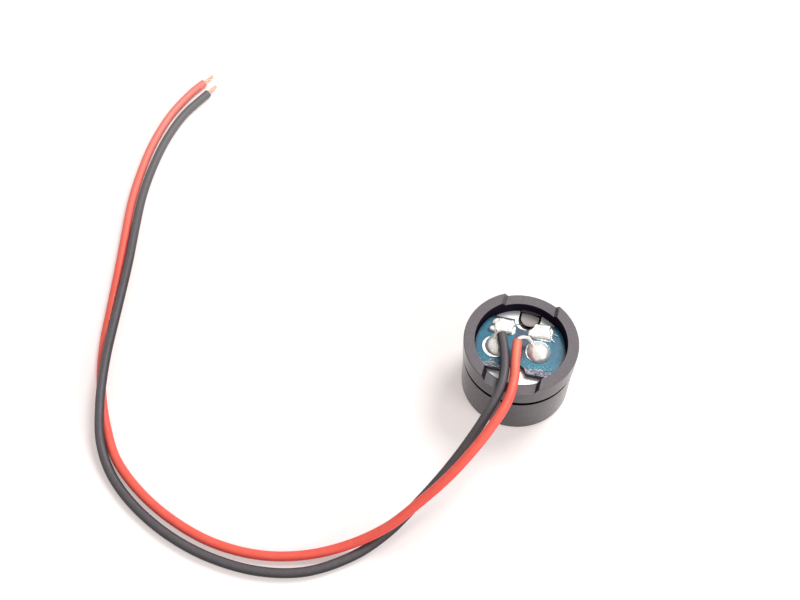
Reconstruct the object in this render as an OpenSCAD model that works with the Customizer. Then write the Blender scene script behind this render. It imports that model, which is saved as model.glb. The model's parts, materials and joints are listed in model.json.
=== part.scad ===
// Wired magnetic buzzer, standing on its sound face with the wiring side up.
// Millimetres. Z = 0 is the sound face, +Z runs to the rim around the board,
// and the two leads leave over the slot on the -Y side.

/* [Housing] */
// Outside diameter of the base ring
housing_d = 12; // [11.6:0.05:12.6]
// How far the side of the cover stands back from the base ring
cover_step = 0.175; // [0.1:0.025:0.3]
// Height of the cover, from the sound face to the seam
cover_h = 5.35; // [4.6:0.05:5.6]
// Side wall of the cover around the base ring's spigot
cover_wall = 0.65; // [0.5:0.05:0.75]
// Thickness of the sound face
cover_top = 0.8; // [0.6:0.05:1]
// Diameter of the sound hole
sound_hole_d = 2.5; // [1.5:0.1:3.5]
// Depth of the resonance cavity behind the sound face
cavity_h = 1.8; // [1.5:0.05:2]
// Radius on the outer edge of the sound face
edge_r = 0.2; // [0.1:0.05:0.35]
// Radius on the lip of the sound hole
hole_edge_r = 0.15; // [0.05:0.05:0.3]

/* [Base ring] */
// Height of the rim above the circuit board
rim_h = 1.3; // [1.1:0.05:1.6]
// Wall of the rim
rim_wall = 1.15; // [1:0.05:1.25]
// Radius on the outer edge of the rim
rim_edge_r = 0.1; // [0.05:0.05:0.25]
// Draft of the base ring's side, from the rim to the seam
ring_draft = 0.05; // [0.02:0.01:0.1]
// Turn of the base ring and the yoke plate against the board, in degrees
ring_turn = -3; // [-5:0.5:0]
// Width of the slots across the rim, at their floor
slot_w = 5.2; // [4.6:0.1:5.8]
// How far each side of a slot leans out, from its floor to the rim
slot_flare = 0.4; // [0.2:0.05:0.5]
// Depth of the slots below the top of the rim
slot_depth = 0.65; // [0.4:0.05:0.85]
// Width of the ledge under the yoke plate
ledge_w = 0.55; // [0.4:0.05:0.6]
// Width of the ledge under the diaphragm
seat_w = 0.45; // [0.3:0.05:0.5]
// Depth of the diaphragm's recess in the end of the spigot
seat_depth = 0.25; // [0.2:0.05:0.35]
// Height of the seam groove between cover and base ring
seam_h = 0.5; // [0.3:0.05:0.6]
// Depth of the seam groove, inwards from the side of the cover
seam_depth = 0.45; // [0.3:0.01:0.5]
// Height of the key that locates the yoke plate
key_h = 0.5; // [0.3:0.05:0.6]
// Width of the key
key_w = 1.9; // [1.6:0.05:2]
// Length of the key, inwards from the rim
key_l = 1.73; // [1.3:0.01:1.9]
// Distance of the key and the plate's notch from the middle of the slots
key_x = 0.2; // [0.05:0.05:0.3]
// Length of the heel behind the key
heel_l = 0.33; // [0.25:0.01:0.5]
// Height of the heel above the key
heel_h = 0.25; // [0.1:0.05:0.35]

/* [Magnetic circuit] */
// Thickness of the diaphragm
diaphragm_t = 0.1; // [0.05:0.01:0.15]
// Diameter of the weight on the diaphragm
weight_d = 3.2; // [2.4:0.1:4]
// Thickness of the weight
weight_t = 0.3; // [0.2:0.05:0.4]
// Gap between the diaphragm and the tip of the pole
air_gap = 0.2; // [0.15:0.01:0.3]
// Gap between the diaphragm and the magnet
magnet_gap = 0.5; // [0.3:0.05:0.7]
// Wall of the ring magnet
magnet_wall = 1.3; // [1.1:0.05:1.35]
// Diameter of the pole core
core_d = 1.9; // [1.6:0.05:2.2]
// Length of the pole core under the yoke plate
core_h = 2.95; // [2.8:0.05:3.2]
// Diameter of the core's riveted shank
shank_d = 1.2; // [0.8:0.05:1.4]
// Distance from the pole tip back to the end of the coil
coil_setback = 0.4; // [0.3:0.05:0.6]
// Thickness of the yoke plate
plate_t = 0.6; // [0.5:0.05:0.7]
// Width of the round-ended notch in the yoke plate
plate_notch_w = 2.35; // [2.25:0.05:2.7]
// Distance from the centre to the inner end of that notch
plate_notch_y = 2.55; // [2.5:0.01:2.6]
// Diameter of the enamelled coil wire where it leaves the coil
coil_wire_d = 0.1; // [0.08:0.01:0.12]

/* [Circuit board] */
// Thickness of the board
board_t = 0.6; // [0.5:0.05:0.8]
// Distance from the centre to the board's flat on the lead side
board_near_y = 3.02; // [2.9:0.02:3.1]
// Distance from the centre to the board's flat beside the key
board_far_y = 3.2; // [3.1:0.02:3.3]
// Radius of the round notch in each flat
board_notch_r = 1.1; // [1.05:0.05:1.25]
// Distance from the centre to the middle of each round notch
board_notch_y = 3.2; // [3.15:0.05:3.3]
// Thickness of the tinned copper
copper_t = 0.05; // [0.03:0.01:0.08]
// Diameter of the pads for the two leads
lead_pad_d = 2.7; // [2.6:0.05:2.8]
// Distance of the black lead's pad from the centre line
black_pad_x = 2.6; // [2.5:0.05:2.75]
// Distance of the black lead's pad in front of the centre
black_pad_y = 0.6; // [0.5:0.05:0.7]
// Distance of the red lead's pad from the centre line
red_pad_x = 1.95; // [1.85:0.05:2.05]
// Distance of the red lead's pad in front of the centre
red_pad_y = 0.2; // [0.15:0.05:0.3]
// Width of the pads for the coil wire
coil_pad_w = 2.2; // [2.1:0.05:2.3]
// Length of the pads for the coil wire
coil_pad_l = 1.7; // [1.6:0.05:1.8]
// Distance of the coil pads from the centre line
coil_pad_x = 1.95; // [1.9:0.05:2.1]
// Distance of the coil pads behind the centre
coil_pad_y = 2.1; // [2.05:0.05:2.2]
// Width of the copper track between two pads
track_w = 1; // [0.6:0.1:1.4]

/* [Solder] */
// Diameter of the solder joint on the black lead
black_joint_d = 2.1; // [1.9:0.1:2.3]
// Diameter of the solder joint on the red lead
red_joint_d = 2.4; // [2.1:0.1:2.5]
// Height of the solder joint on the black lead
black_joint_h = 0.5; // [0.4:0.05:0.55]
// Height of the solder joint on the red lead
red_joint_h = 0.8; // [0.6:0.05:0.9]
// Height of the solder on the coil pads
coil_joint_h = 0.4; // [0.3:0.05:0.5]

/* [Leads] */
// Diameter over the insulation of each lead
lead_d = 1; // [0.9:0.05:1]
// Diameter of the tinned conductor
conductor_d = 0.38; // [0.3:0.01:0.42]
// Bare length of the conductor at each free end
bare_l = 1.6; // [1:0.1:4]
// Overlap of each bare conductor with the end of its insulation
grip_l = 0.05; // [0.02:0.01:0.1]

/* [Fits] */
// Radial clearance of the base ring's spigot in the cover
cover_fit = 0.03; // [0.01:0.01:0.08]
// Radial clearance of the yoke plate in the rim
plate_fit = 0.05; // [0.02:0.01:0.1]
// Radial clearance of the diaphragm in its recess
diaphragm_fit = 0.05; // [0.02:0.01:0.1]
// Radial clearance of the magnet in the base ring
magnet_fit = 0.1; // [0.05:0.01:0.15]
// Radial clearance of the circuit board in the rim
board_fit = 0.15; // [0.05:0.01:0.25]
// Radial clearance of the riveted shank in the yoke plate
rivet_fit = 0.01; // [0.005:0.005:0.03]
// Radial clearance of the coil on the core
core_fit = 0.05; // [0.02:0.01:0.1]
// Gap between the coil and the magnet
coil_gap = 0.3; // [0.25:0.01:0.35]
// Side clearance of the heel in the yoke plate's notch
heel_fit = 0.12; // [0.05:0.01:0.2]

/* [Hidden] */

$fn = 96;
eps = 0.01;

// Heights, stacked up from the sound face
cavity_top_z = cover_top + cavity_h;
seat_z = cavity_top_z + seat_depth;
pole_tip_z = seat_z + air_gap;
plate_z = pole_tip_z + core_h;
board_z = plate_z + plate_t;
copper_z = board_z + board_t;
joint_z = copper_z + copper_t;
rim_z = copper_z + rim_h;
magnet_h = air_gap + core_h - magnet_gap;
coil_h = core_h - coil_setback;

// Radii, worked inwards from the outside
housing_r = housing_d / 2;
cover_r = housing_r - cover_step;
cover_bore_r = cover_r - cover_wall;
spigot_r = cover_bore_r - cover_fit;
rim_bore_r = housing_r - rim_wall;
ring_bore_r = rim_bore_r - ledge_w;
seat_r = ring_bore_r + seat_w;
plate_r = rim_bore_r - plate_fit;
board_r = rim_bore_r - board_fit;
diaphragm_r = seat_r - diaphragm_fit;
magnet_r = ring_bore_r - magnet_fit;
magnet_bore_r = magnet_r - magnet_wall;
coil_r = magnet_bore_r - coil_gap;
coil_bore_r = core_d / 2 + core_fit;

// Places of the solder joints on their pads
black_joint = [-black_pad_x + 0.1, -black_pad_y - 0.05];
red_joint = [red_pad_x + 0.15, -red_pad_y - 0.08];

// Routes of the leads, from the stripped end on the board, over the slot,
// down to the surface and along it to the free end
BLACK_ROUTE = [
  [-2.15, 0.49, 8.3], [-1.52, -1.43, 8.35], [-1.07, -3.79, 8.45],
  [-1.13, -6.15, 8.42], [-1.93, -8.9, 7.8], [-3.27, -11.82, 6.4],
  [-4.99, -14.74, 4.6], [-7.08, -17.71, 2.7], [-9.4, -20.9, 1.3],
  [-12.31, -23.78, 0.6], [-16.35, -26.28, 0.5], [-21.03, -27.32, 0.5],
  [-26.09, -27.07, 0.5], [-30.82, -25.82, 0.5], [-35.25, -23.67, 0.5],
  [-38.83, -20.92, 0.6], [-41.16, -17.72, 1.1], [-42.51, -14.01, 1.7],
  [-43.36, -10.9, 1.8], [-44.16, -7.39, 1.6], [-44.85, -3.88, 1.2],
  [-45.6, 0.59, 0.98], [-46.4, 5.08, 0.78], [-47.33, 9.56, 0.6],
  [-48.17, 14.33, 0.5], [-48.46, 18.86, 0.5], [-48.28, 23.49, 0.5],
  [-47.43, 27.83, 0.5], [-45.62, 31.96, 0.5]
];
RED_ROUTE = [
  [-0.38, -0.03, 8.35], [-0.23, -2.17, 8.48], [0.06, -4.65, 8.55],
  [-0.13, -7.3, 8.62], [-1.04, -10.05, 8.45], [-2.41, -12.78, 7.7],
  [-4.32, -15.67, 6.4], [-6.73, -18.36, 4.7], [-9.39, -20.85, 2.9],
  [-12.89, -22.95, 1.3], [-17, -24.73, 0.6], [-21.52, -25.71, 0.5],
  [-26.36, -25.52, 0.5], [-30.97, -24.2, 0.5], [-35.29, -22.03, 0.5],
  [-38.98, -19.13, 0.5], [-41.47, -15.62, 0.5], [-43.22, -12.29, 0.5],
  [-44.46, -9.16, 0.5], [-45.43, -5.59, 0.5], [-46.23, -1.46, 0.5],
  [-47.18, 3.51, 0.5], [-48.15, 8.25, 0.5], [-49.1, 13.03, 0.5],
  [-49.6, 17.79, 0.5], [-49.68, 22.49, 0.5], [-49.11, 27.18, 0.5],
  [-47.84, 31.2, 0.5], [-46.68, 33.51, 0.5]
];
lead_rings = 39;
lead_sides = 8;

// Stripped ends on the board: each starts inside its insulation, loops over
// beside the lead and ends in the solder
BLACK_STRIP = [
  [-2.2, 0.1, 8.3], [-2.33, 0.48, 8.3], [-2.58, 0.62, 8.15],
  [-2.75, 0.38, 7.9], [-2.76, -0.05, 7.65], [-2.68, -0.45, 7.45]
];
RED_STRIP = [
  [-0.36, -0.33, 8.36], [-0.3, 0.22, 8.38], [0.08, 0.5, 8.4],
  [0.62, 0.54, 8.34], [1.08, 0.26, 8.12], [1.42, -0.12, 7.75]
];
strip_rings = 16;

// ---- Curves ----

// Point u along a smooth curve through the points p; u counts the points
function spline(p, u) =
    let (i = min(floor(u), len(p) - 2), t = u - i,
         b = p[i], c = p[i + 1],
         a = i > 0 ? p[i - 1] : 2 * b - c,
         d = i < len(p) - 2 ? p[i + 2] : 2 * c - b)
    (2 * b + (c - a) * t + (2 * a - 5 * b + 4 * c - d) * t * t
     + (3 * b - a - 3 * c + d) * t * t * t) / 2;

function resample(p, n) = [for (k = [0:n - 1]) spline(p, k * (len(p) - 1) / (n - 1))];

function unit(v) = v / norm(v);

function tangent(p, k) = unit(p[min(k + 1, len(p) - 1)] - p[max(k - 1, 0)]);

// A round tube of diameter d along the points p; side is a direction that
// the points never run along
module tube(p, d, sides, side = [0, 0, 1]) {
    rings = [for (k = [0:len(p) - 1])
        let (t = tangent(p, k), x = unit(cross(t, side)), y = cross(x, t))
        for (j = [0:sides - 1])
            p[k] + d / 2 * (x * cos(360 * j / sides) + y * sin(360 * j / sides))];
    last = (len(p) - 1) * sides;
    polyhedron(rings, concat(
        [[for (j = [0:sides - 1]) j]],
        [for (k = [0:len(p) - 2], j = [0:sides - 1])
            let (a = k * sides, m = (j + 1) % sides)
            [a + j, a + sides + j, a + sides + m, a + m]],
        [[for (j = [sides - 1:-1:0]) last + j]]));
}

// Quarter-round corner of an outline, centred on c, from angle a on by 90
function corner(c, r, a) = [for (s = [0:5]) c + r * [cos(a + 18 * s), sin(a + 18 * s)]];

// ---- Housing ----

// Moulded cover: sound face, resonance cavity, step for the spigot
module case_cover() {
    hole_r = sound_hole_d / 2;
    color([0.22, 0.22, 0.24])
    rotate_extrude()
    polygon(concat(
        corner([hole_r + hole_edge_r, hole_edge_r], hole_edge_r, 180),
        corner([cover_r - edge_r, edge_r], edge_r, -90),
        [[cover_r, cover_h],
         [cover_bore_r, cover_h],
         [cover_bore_r, cavity_top_z],
         [seat_r, cavity_top_z],
         [seat_r, cover_top],
         [hole_r, cover_top]]));
}

// Moulded base ring: spigot with the diaphragm's recess, seam groove, ledge
// for the yoke plate, rim with a slot on each side, and the locating key
module base_ring() {
    color([0.27, 0.27, 0.29]) {
        difference() {
            rotate_extrude()
            polygon(concat(
                [[ring_bore_r, seat_z],
                 [seat_r, seat_z],
                 [seat_r, cavity_top_z],
                 [spigot_r, cavity_top_z],
                 [spigot_r, cover_h],
                 [cover_r - seam_depth, cover_h],
                 [cover_r - seam_depth, cover_h + seam_h],
                 [housing_r - ring_draft, cover_h + seam_h]],
                corner([housing_r - rim_edge_r, rim_z - rim_edge_r], rim_edge_r, 0),
                [[rim_bore_r, rim_z],
                 [rim_bore_r, plate_z],
                 [ring_bore_r, plate_z]]));
            rim_slots();
        }
        locating_key();
    }
}

// The two slots across the rim, as one cutter with leaning sides
module rim_slots() {
    floor_z = rim_z - slot_depth;
    top_w = slot_w + 2 * slot_flare * (slot_depth + 1) / slot_depth;
    rotate([90, 0, ring_turn])
    linear_extrude(2 * housing_d, center = true)
    polygon([[-slot_w / 2, floor_z], [slot_w / 2, floor_z],
             [top_w / 2, rim_z + 1], [-top_w / 2, rim_z + 1]]);
}

// Round-ended key that stands in the yoke plate's notch, on the ledge, with
// its heel against the rim
module locating_key() {
    tip_y = rim_bore_r - key_l + key_w / 2;
    heel_w = plate_notch_w - 2 * heel_fit;
    rotate([0, 0, ring_turn])
    intersection() {
        translate([key_x, 0, plate_z]) {
            translate([0, tip_y, 0]) cylinder(d = key_w, h = key_h);
            translate([-key_w / 2, tip_y, 0]) cube([key_w, housing_r - tip_y, key_h]);
            translate([-heel_w / 2, rim_bore_r - heel_l, 0])
                cube([heel_w, heel_l + rim_wall, key_h + heel_h]);
        }
        translate([0, 0, plate_z])
            cylinder(r = rim_bore_r + rim_wall / 2, h = key_h + heel_h);
    }
}

// ---- Sounder ----

// Spring steel disc on the ledge in the end of the spigot
module diaphragm() {
    color([0.62, 0.63, 0.66])
    translate([0, 0, seat_z - diaphragm_t])
        cylinder(r = diaphragm_r, h = diaphragm_t);
}

// Weight spot-welded to the cavity side of the diaphragm
module diaphragm_weight() {
    color([0.5, 0.5, 0.53])
    translate([0, 0, seat_z - diaphragm_t - weight_t])
        cylinder(d = weight_d, h = weight_t);
}

// Ring magnet, held against the yoke plate
module ring_magnet() {
    chamfer = 0.15;
    color([0.17, 0.17, 0.18])
    translate([0, 0, plate_z - magnet_h])
    rotate_extrude()
    polygon([
        [magnet_bore_r, chamfer], [magnet_bore_r + chamfer, 0],
        [magnet_r - chamfer, 0], [magnet_r, chamfer],
        [magnet_r, magnet_h], [magnet_bore_r, magnet_h]]);
}

// Soft iron core with a chamfered pole tip, riveted through the yoke plate
module pole_core() {
    chamfer = 0.1;
    core_r = core_d / 2;
    color([0.66, 0.66, 0.68])
    rotate_extrude()
    polygon([
        [0, pole_tip_z], [core_r - chamfer, pole_tip_z],
        [core_r, pole_tip_z + chamfer], [core_r, plate_z],
        [shank_d / 2 - rivet_fit, plate_z],
        [shank_d / 2 - rivet_fit, board_z], [0, board_z]]);
}

// Enamelled copper winding on the core, with its two ends brought up through
// the yoke plate's notch and over the board's notch to the coil pads
module coil_winding() {
    crown = 0.1;
    color([0.72, 0.36, 0.16]) {
        translate([0, 0, plate_z - coil_h])
        rotate_extrude()
        polygon([
            [coil_bore_r, 0], [coil_r - crown, 0], [coil_r, crown],
            [coil_r, coil_h - crown], [coil_r - crown, coil_h],
            [coil_bore_r, coil_h]]);
        for (s = [-1, 1])
            tube(resample(coil_end_route(s), 22), coil_wire_d, lead_sides, [s, 1, 0]);
    }
}

// From inside the winding, up between coil and magnet and through the
// notches, to the pad on side s
function coil_end_route(s) =
    let (gap_r = (coil_r + magnet_bore_r) / 2,
         a = 90 + ring_turn - asin((key_x + s * 0.35) / gap_r),
         up = [cos(a), sin(a)],
         pad = [s * 1.45, coil_pad_y + 0.05],
         over_z = joint_z + coil_wire_d)
    [for (p = [[up * (coil_r - 0.25), plate_z - 1.6], [up * (coil_r - 0.05), plate_z - 1.5],
               [up * gap_r, plate_z - 1.1], [up * gap_r, plate_z - 0.4],
               [up * gap_r, board_z], [up * gap_r, copper_z - 0.1],
               [up * gap_r * 0.65 + pad * 0.35, over_z + 0.12],
               [up * gap_r * 0.3 + pad * 0.7, over_z], [pad, over_z]])
        [p[0].x, p[0].y, p[1]]];

// Nickel-plated steel yoke with the notch for the key and the coil wire
module yoke_plate() {
    notch_r = plate_notch_w / 2;
    color([0.78, 0.79, 0.8])
    difference() {
        translate([0, 0, plate_z]) cylinder(r = plate_r, h = plate_t);
        translate([0, 0, plate_z - eps]) {
            cylinder(d = shank_d, h = plate_t + 2 * eps);
            rotate([0, 0, ring_turn]) translate([key_x, plate_notch_y + notch_r, 0]) {
                cylinder(r = notch_r, h = plate_t + 2 * eps);
                translate([-notch_r, 0, 0]) cube([2 * notch_r, housing_r, plate_t + 2 * eps]);
            }
        }
    }
}

// ---- Circuit board ----

// Round board with a flat and a round notch on the two slotted sides
module circuit_board() {
    color([0.23, 0.44, 0.6])
    difference() {
        translate([0, 0, board_z]) cylinder(r = board_r, h = board_t);
        for (y = [-board_near_y - housing_r, board_far_y])
            translate([-housing_r, y, board_z - eps])
                cube([housing_d, housing_r, board_t + 2 * eps]);
        for (s = [-1, 1])
            translate([0, s * board_notch_y, board_z - eps])
                cylinder(r = board_notch_r, h = board_t + 2 * eps);
    }
}

// Outline of a rectangle with round corners, centred on the origin
module rounded_rect(w, l, r) {
    square([w - 2 * r, l], center = true);
    square([w, l - 2 * r], center = true);
    for (x = [-1, 1], y = [-1, 1])
        translate([x * (w / 2 - r), y * (l / 2 - r)]) circle(r = r);
}

// Tinned copper on side s: round lead pad at p, track, pad for the coil wire
module copper_track(s, p) {
    color([0.8, 0.78, 0.72])
    translate([0, 0, copper_z])
    linear_extrude(copper_t)
    difference() {
        union() {
            translate(p) circle(d = lead_pad_d);
            translate([s * coil_pad_x, coil_pad_y]) rounded_rect(coil_pad_w, coil_pad_l, 0.3);
            translate([p.x - track_w / 2, p.y]) square([track_w, coil_pad_y - p.y]);
        }
        translate([0, board_notch_y]) circle(r = board_notch_r + 0.12);
    }
}

module left_copper_track() { copper_track(-1, [-black_pad_x, -black_pad_y]); }

module right_copper_track() { copper_track(1, [red_pad_x, -red_pad_y]); }

// ---- Solder ----

// Solder drawn up over a round pad: a dome on a thin wetted foot
module lead_joint(d, h) {
    foot_w = 0.07;
    foot_h = 0.04;
    color([0.86, 0.85, 0.8])
    rotate_extrude()
    polygon(concat(
        [[0, 0], [d / 2, 0]],
        [for (a = [0:9:90])
            [(d / 2 - foot_w) * cos(a), foot_h + (h - foot_h) * sin(a)]]));
}

module black_lead_joint() {
    translate([black_joint.x, black_joint.y, joint_z])
        lead_joint(black_joint_d, black_joint_h);
}

module red_lead_joint() {
    translate([red_joint.x, red_joint.y, joint_z])
        lead_joint(red_joint_d, red_joint_h);
}

// Low crowned mound of solder over the coil pad on side s
module coil_joint(s) {
    inset = 0.08;
    crown_r = 3;
    color([0.86, 0.85, 0.8])
    intersection() {
        translate([0, 0, joint_z])
        linear_extrude(coil_joint_h)
        difference() {
            translate([s * coil_pad_x, coil_pad_y])
                rounded_rect(coil_pad_w - 2 * inset, coil_pad_l - 2 * inset, 0.3);
            translate([0, board_notch_y]) circle(r = board_notch_r + 0.2);
        }
        translate([s * coil_pad_x, coil_pad_y, joint_z + coil_joint_h - crown_r])
            sphere(r = crown_r);
    }
}

module left_coil_joint() { coil_joint(-1); }

module right_coil_joint() { coil_joint(1); }

// ---- Leads ----

module black_conductor_end() {
    color([0.82, 0.8, 0.74])
    tube(resample(BLACK_STRIP, strip_rings), conductor_d, lead_sides, [1, -0.6, 0.5]);
}

module red_conductor_end() {
    color([0.82, 0.8, 0.74])
    tube(resample(RED_STRIP, strip_rings), conductor_d, lead_sides, [-0.6, -1, 0.5]);
}

module black_lead() {
    color([0.2, 0.2, 0.21])
    tube(resample(BLACK_ROUTE, lead_rings), lead_d, lead_sides);
}

module red_lead() {
    color([0.94, 0.38, 0.31])
    tube(resample(RED_ROUTE, lead_rings), lead_d, lead_sides);
}

// Straight bare conductor at the free end of a route
module bare_tip(route) {
    end = route[len(route) - 1];
    away = unit(end - route[len(route) - 2]);
    color([0.82, 0.8, 0.74])
    translate(end - away * grip_l)
    rotate([0, acos(away.z), atan2(away.y, away.x)])
        cylinder(d = conductor_d, h = grip_l + bare_l);
}

module black_bare_tip() { bare_tip(BLACK_ROUTE); }

module red_bare_tip() { bare_tip(RED_ROUTE); }

case_cover();
base_ring();
diaphragm();
diaphragm_weight();
ring_magnet();
pole_core();
coil_winding();
yoke_plate();
circuit_board();
left_copper_track();
right_copper_track();
left_coil_joint();
right_coil_joint();
black_lead_joint();
red_lead_joint();
black_conductor_end();
red_conductor_end();
black_lead();
red_lead();
black_bare_tip();
red_bare_tip();
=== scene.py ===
"""Looks of the wired magnetic buzzer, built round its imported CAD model.

Lengths are millimetres here and become metres where a mesh is made. The part
stands on its sound face with the board up, as the photograph shows it.
"""

import json
import math
import random

import bpy
from mathutils import Matrix, Vector, noise
from mathutils.geometry import delaunay_2d_cdt


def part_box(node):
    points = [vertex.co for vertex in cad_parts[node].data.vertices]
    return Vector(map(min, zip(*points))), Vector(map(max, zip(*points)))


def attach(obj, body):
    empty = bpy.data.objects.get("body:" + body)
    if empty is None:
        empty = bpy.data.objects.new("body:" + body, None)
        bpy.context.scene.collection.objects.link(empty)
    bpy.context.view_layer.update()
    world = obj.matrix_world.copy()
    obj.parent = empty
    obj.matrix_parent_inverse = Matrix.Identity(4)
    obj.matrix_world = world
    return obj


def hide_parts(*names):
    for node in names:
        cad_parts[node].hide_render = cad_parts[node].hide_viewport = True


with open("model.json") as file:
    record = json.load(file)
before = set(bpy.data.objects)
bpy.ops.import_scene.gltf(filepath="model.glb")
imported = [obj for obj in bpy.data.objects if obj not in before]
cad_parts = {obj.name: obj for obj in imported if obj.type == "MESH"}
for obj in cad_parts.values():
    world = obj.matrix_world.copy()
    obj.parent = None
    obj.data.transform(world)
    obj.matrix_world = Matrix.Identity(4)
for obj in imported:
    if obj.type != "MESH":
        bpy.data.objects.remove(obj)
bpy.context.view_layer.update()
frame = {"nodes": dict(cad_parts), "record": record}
NODES = frame["nodes"]
MM = 0.001
FLOOR_Z = -0.03


def high(node, axis="Z"):
    """A CAD node's highest coordinate on an axis, in millimetres."""
    return round(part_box(node)[1]["XYZ".index(axis)] / MM, 4)


# Sizes that the nodes' boxes give
RING_R = high("base_ring", "X")
RIM_TOP = high("base_ring")
BOARD_TOP = high("circuit_board")
JOINT_Z = high("left_copper_track")
SEAM_LOW = high("case_cover")

# Sizes that repeat the part's source
SEAM_HIGH = SEAM_LOW + 0.5
BORE_R = 4.85
BOARD_R = 4.7
SLOT_DEPTH = 0.65
KEY_TOP = 6.5
HEEL_TOP = 6.75
LEAD_R = 0.5
BARE = 1.6

# Sizes of what only this script makes
EJECTOR_R = 1.25
STRAND_R = 0.063

# ---- Camera ----


def add_camera():
    """The photograph's camera. The focal length and (u, v), where the part's
    origin shows, are in pixels; dist is how far away it is, in millimetres."""
    focal, width, height = 1155.89, 800, 600
    azimuth, elevation, roll = math.radians(13), math.radians(57.699), 0.00187
    dist, u, v = 126.9, 514.4, 379.6
    back = Vector((
        math.sin(azimuth) * math.cos(elevation),
        -math.cos(azimuth) * math.cos(elevation),
        math.sin(elevation),
    ))
    right = Vector((math.cos(azimuth), math.sin(azimuth), 0))
    up = back.cross(right)
    x = right * math.cos(roll) + up * math.sin(roll)
    y = up * math.cos(roll) - right * math.sin(roll)
    place = (
        back * dist
        - x * (u - width / 2) * dist / focal
        + y * (v - height / 2) * dist / focal
    ) * MM
    data = bpy.data.cameras.new("camera")
    data.sensor_width = sensor = 36
    data.lens = focal * sensor / width
    data.clip_start, data.clip_end = 0.005, 10
    cam = bpy.data.objects.new("camera", data)
    bpy.context.collection.objects.link(cam)
    m = Matrix((x, y, back)).transposed().to_4x4()
    m.translation = place
    cam.matrix_world = m
    bpy.context.scene.camera = cam


# ---- Curves and meshes ----


def between(a, b, c, d, t):
    """Point at t, 0 to 1, from b to c on the smooth curve through a to d."""
    return (
        b
        + (c - a) * (t / 2)
        + (2 * a - 5 * b + 4 * c - d) * (t * t / 2)
        + (3 * b - a - 3 * c + d) * (t**3 / 2)
    )


def smooth_line(points, step):
    """Points a step apart along the smooth curve that part.scad also uses."""
    p = [Vector(q) for q in points]
    p = [2 * p[0] - p[1]] + p + [2 * p[-1] - p[-2]]
    fine = []
    for i in range(1, len(p) - 2):
        fine += [between(*p[i - 1 : i + 3], k / 24) for k in range(24)]
    fine.append(p[-2])
    return even_line(fine, step)


def even_line(fine, step):
    """The same line with its points an even step apart."""
    length = line_length(fine)
    n = max(2, round(length / step))
    out, i, run = [fine[0].copy()], 0, 0.0
    for k in range(1, n):
        want = length * k / n
        while run + (fine[i + 1] - fine[i]).length < want:
            run += (fine[i + 1] - fine[i]).length
            i += 1
        seg = fine[i + 1] - fine[i]
        out.append(fine[i] + seg * ((want - run) / seg.length))
    out.append(fine[-1].copy())
    return out


def line_length(line):
    return sum((b - a).length for a, b in zip(line, line[1:]))


def frames(line):
    """Tangent and two cross directions at each point, without twist."""
    out = []
    side = None
    for k in range(len(line)):
        t = (line[min(k + 1, len(line) - 1)] - line[max(k - 1, 0)]).normalized()
        if side is None:
            side = t.cross(Vector((0.3, 0.2, 1))).normalized()
        side = (side - t * side.dot(t)).normalized()
        out.append((t, side, t.cross(side)))
    return out


def make_mesh(name, verts, faces, material, smooth=True, uvs=None):
    mesh = bpy.data.meshes.new(name)
    mesh.from_pydata([Vector(v) * MM for v in verts], [], faces)
    if uvs:
        layer = mesh.uv_layers.new(name="UVMap")
        for loop in mesh.loops:
            layer.data[loop.index].uv = uvs[loop.vertex_index]
    mesh.validate()
    mesh.update()
    for poly in mesh.polygons:
        poly.use_smooth = smooth
    obj = bpy.data.objects.new(name, mesh)
    bpy.context.collection.objects.link(obj)
    mesh.materials.append(material)
    return obj


def keep(obj, slot, *replaced):
    """Every piece rides on the one body, and the CAD nodes it replaces are hidden."""
    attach(obj, "root")
    if replaced:
        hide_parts(*replaced)
    return obj


def tube_parts(line, radius, sides, verts, faces, uvs=None, profile=None):
    """Adds a closed tube to verts and faces. radius is a number or a function
    of the place along the line, 0 to 1; profile lists extra rings at the two
    ends as (step inwards along the line, radius)."""

    def radius_at(s):
        return radius(s) if callable(radius) else radius

    axes = frames(line)
    length = line_length(line)
    rings = []
    run = 0.0
    for k, p in enumerate(line):
        if k:
            run += (p - line[k - 1]).length
        rings.append((p, axes[k], radius_at(run / length), run))
    if profile:
        t0, t1 = axes[0][0], axes[-1][0]
        first = [(line[0] + t0 * i, axes[0], r, 0.0) for i, r in profile]
        last = [(line[-1] - t1 * i, axes[-1], r, length) for i, r in profile]
        lip = profile[0][0]
        rings[0] = (line[0] + t0 * lip, axes[0], rings[0][2], 0.0)
        rings[-1] = (line[-1] - t1 * lip, axes[-1], rings[-1][2], length)
        rings = first[::-1][: len(profile)] + rings + last
    base = len(verts)
    for p, (t, x, y), r, run in rings:
        for j in range(sides):
            a = 2 * math.pi * j / sides
            verts.append(p + (x * math.cos(a) + y * math.sin(a)) * r)
            if uvs is not None:
                uvs.append((j / sides, run))
    for k in range(len(rings) - 1):
        for j in range(sides):
            a, m = base + k * sides, (j + 1) % sides
            faces.append((a + j, a + m, a + sides + m, a + sides + j))
    last = base + (len(rings) - 1) * sides
    faces.append(tuple(base + j for j in range(sides - 1, -1, -1)))
    faces.append(tuple(last + j for j in range(sides)))


def strand_bundle(name, line, strand_r, pitch, material, spread=0.0, seed=1):
    """A conductor of seven twisted strands along the line; spread opens
    them towards its end."""
    rnd = random.Random(seed)
    axes = frames(line)
    length = line_length(line)
    verts, faces = [], []
    for s in range(7):
        start = 2 * math.pi * s / 6
        trim = rnd.uniform(0, 0.12)
        path, run = [], 0.0
        for k, p in enumerate(line):
            if k:
                run += (p - line[k - 1]).length
            t, x, y = axes[k]
            r = 0 if s == 6 else 2 * strand_r * (1 + spread * (run / length) ** 3)
            a = start + 2 * math.pi * run / pitch
            if run <= length - trim:
                path.append(p + (x * math.cos(a) + y * math.sin(a)) * r)
        ends = [(0.02, strand_r * 0.9), (0, strand_r * 0.6)]
        tube_parts(path, strand_r, 10, verts, faces, profile=ends)
    return make_mesh(name, verts, faces, material)


# ---- Procedural materials ----


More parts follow.
